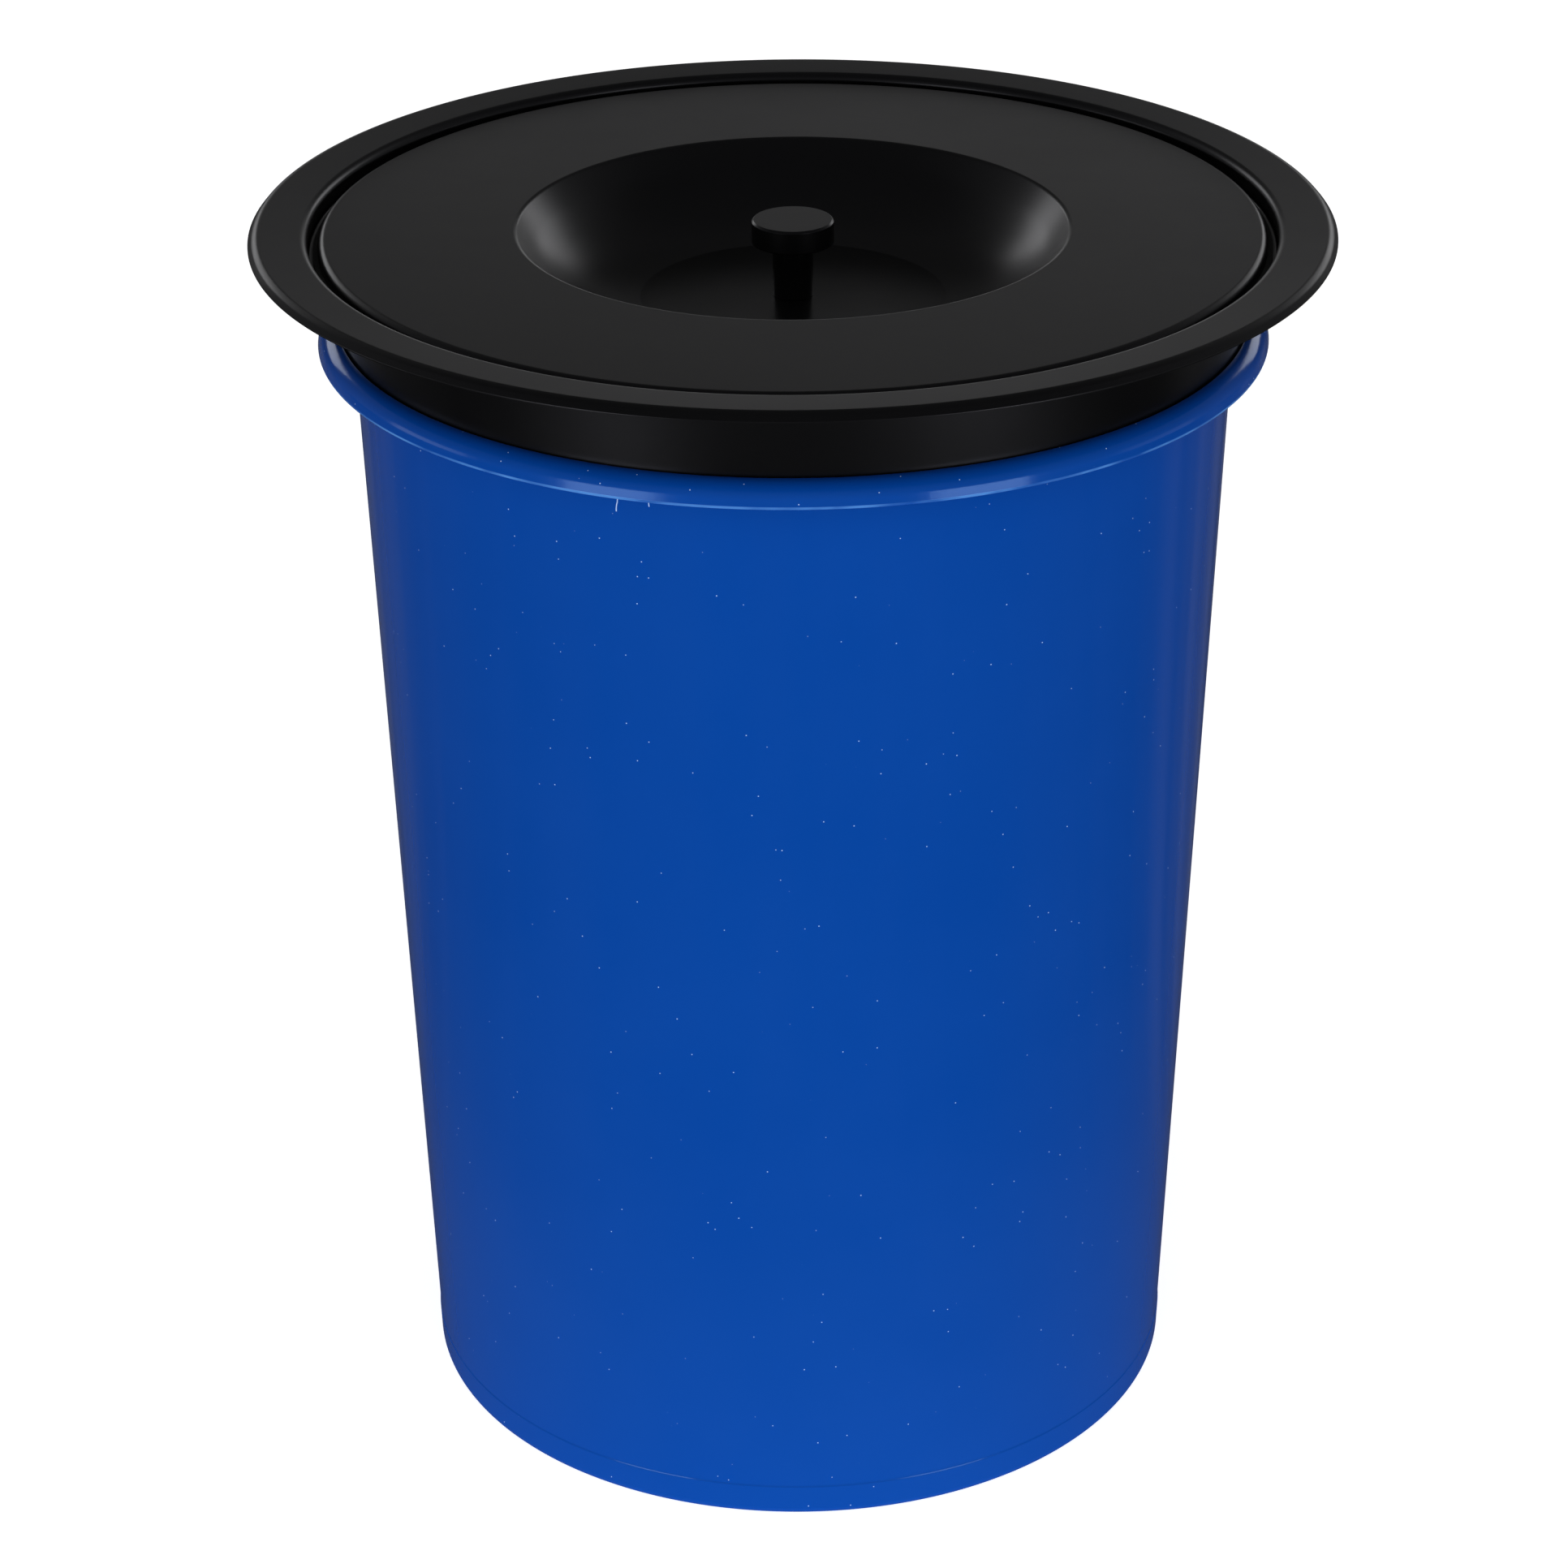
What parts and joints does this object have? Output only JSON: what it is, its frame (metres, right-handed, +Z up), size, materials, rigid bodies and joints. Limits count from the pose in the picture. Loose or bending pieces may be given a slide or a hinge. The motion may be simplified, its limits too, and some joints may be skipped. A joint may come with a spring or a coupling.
{
  "type": "built-in countertop trash can",
  "caption": "Drop-in waste bin: a tapered plastic bucket under a flanged steel ring for a worktop cut-out, with a flush lift-off lid whose knob sits in a dish.",
  "frame": {"origin": "centre of the bucket's foot, on the floor", "axes": "+Z up along the bucket's axis; the part is round, so +X and +Y are any two directions across it"},
  "size_m": [0.268, 0.268, 0.318],
  "materials": {
    "blue_plastic": "smooth moulded polypropylene, slightly glossy",
    "black_steel": "satin black coating on stainless steel sheet",
    "black_knob": "satin black coating on turned metal",
    "black_rubber": "matt",
    "plain_steel": "bright stainless fastener"
  },
  "bodies": {
    "bucket": {"bucket": "blue_plastic"},
    "ring": {"mounting_ring": "black_steel", "worktop_gasket": "black_rubber", "lid_seal": "black_rubber"},
    "lid": {"lid": "black_steel", "knob": "black_knob", "knob_screw": "plain_steel", "knob_washer": "plain_steel"}
  },
  "joints": [
    {"name": "ring_lift", "type": "slide", "parent": "bucket", "child": "ring", "axis": [0, 0, 1], "range_m": [0, 0.06]},
    {"name": "lid_lift", "type": "slide", "parent": "ring", "child": "lid", "axis": [0, 0, 1], "range_m": [0, 0.08]}
  ]
}
